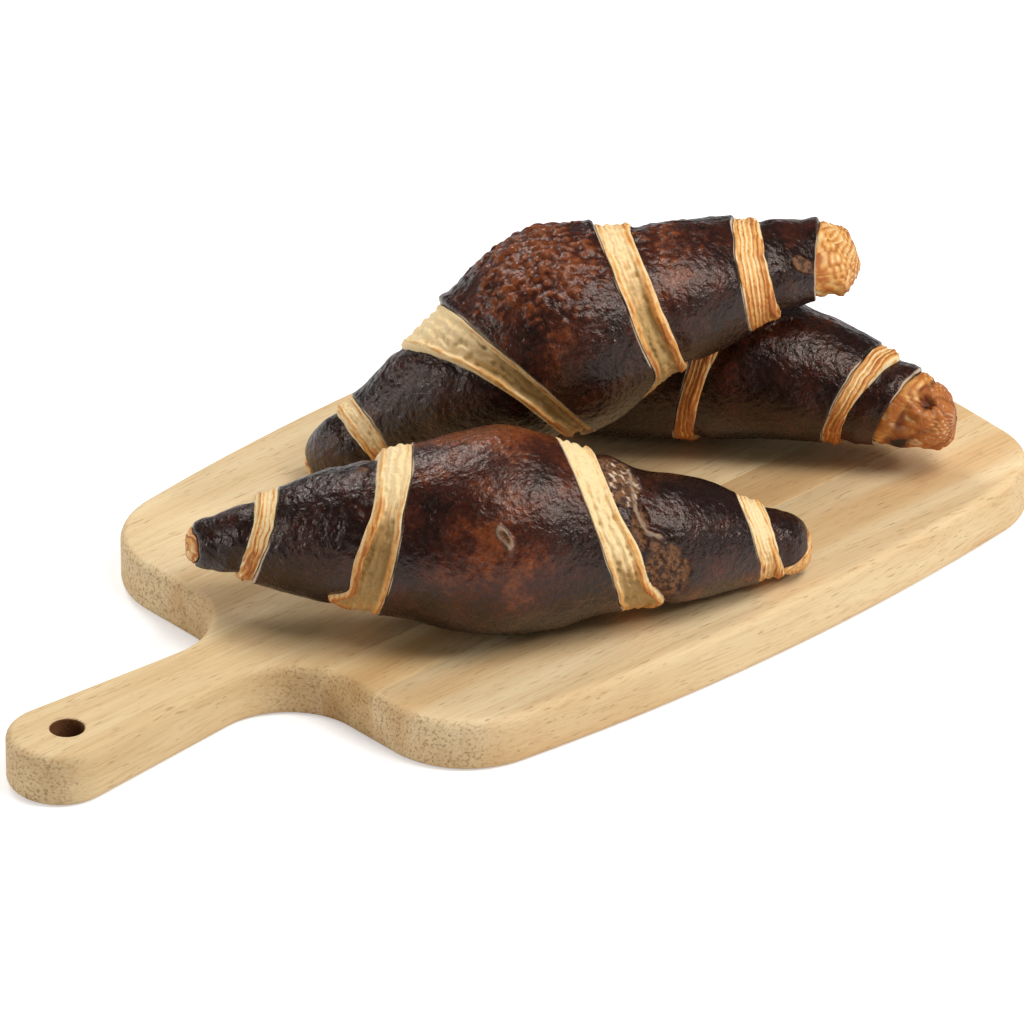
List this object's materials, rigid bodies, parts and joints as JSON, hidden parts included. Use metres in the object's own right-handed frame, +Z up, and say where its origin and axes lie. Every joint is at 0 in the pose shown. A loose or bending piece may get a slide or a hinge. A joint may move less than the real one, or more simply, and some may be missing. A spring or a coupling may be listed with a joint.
{
  "type": "pastry serving board",
  "caption": "Paddle-shaped wooden pastry board with a hanging hole in its handle, carrying loose filled croissants striped with cocoa dough.",
  "frame": {"origin": "on the surface the board stands on, in the middle of the board's outline, handle included", "axes": "+X from the handle to the far end of the board, +Y across it, +Z up"},
  "size_m": [0.2998, 0.16, 0.0928],
  "materials": {
    "board_wood": "oiled pale hardwood with fine pores",
    "plain_dough": "baked laminated dough, golden to cream",
    "cocoa_crust": "baked cocoa dough, satin with a glazed sheen",
    "cocoa_cream": "thick cocoa and hazelnut cream"
  },
  "bodies": {
    "board": {"handle_stave": "board_wood", "rear_stave": "board_wood", "front_inner_stave": "board_wood", "front_outer_stave": "board_wood"},
    "croissant_front": {"front_dough": "plain_dough", "front_filling": "cocoa_cream", "front_wrap_1": "cocoa_crust", "front_wrap_2": "cocoa_crust", "front_wrap_3": "cocoa_crust", "front_wrap_4": "cocoa_crust", "front_wrap_5": "cocoa_crust"},
    "croissant_rear": {"rear_dough": "plain_dough", "rear_filling": "cocoa_cream", "rear_wrap_1": "cocoa_crust", "rear_wrap_2": "cocoa_crust", "rear_wrap_3": "cocoa_crust", "rear_wrap_4": "cocoa_crust", "rear_wrap_5": "cocoa_crust"},
    "croissant_top": {"top_dough": "plain_dough", "top_filling": "cocoa_cream", "top_wrap_1": "cocoa_crust", "top_wrap_2": "cocoa_crust", "top_wrap_3": "cocoa_crust", "top_wrap_4": "cocoa_crust", "top_wrap_5": "cocoa_crust"}
  },
  "joints": [
    {"name": "front_lift", "type": "slide", "parent": "board", "child": "croissant_front", "axis": [-0.4212, -0.5617, 0.7121], "range_m": [0, 0.12]},
    {"name": "rear_draw", "type": "slide", "parent": "board", "child": "croissant_rear", "axis": [0.7605, 0.5904, 0.2702], "range_m": [0, 0.12]},
    {"name": "top_lift", "type": "slide", "parent": "board", "child": "croissant_top", "axis": [0, 0, 1], "range_m": [0, 0.12]}
  ]
}
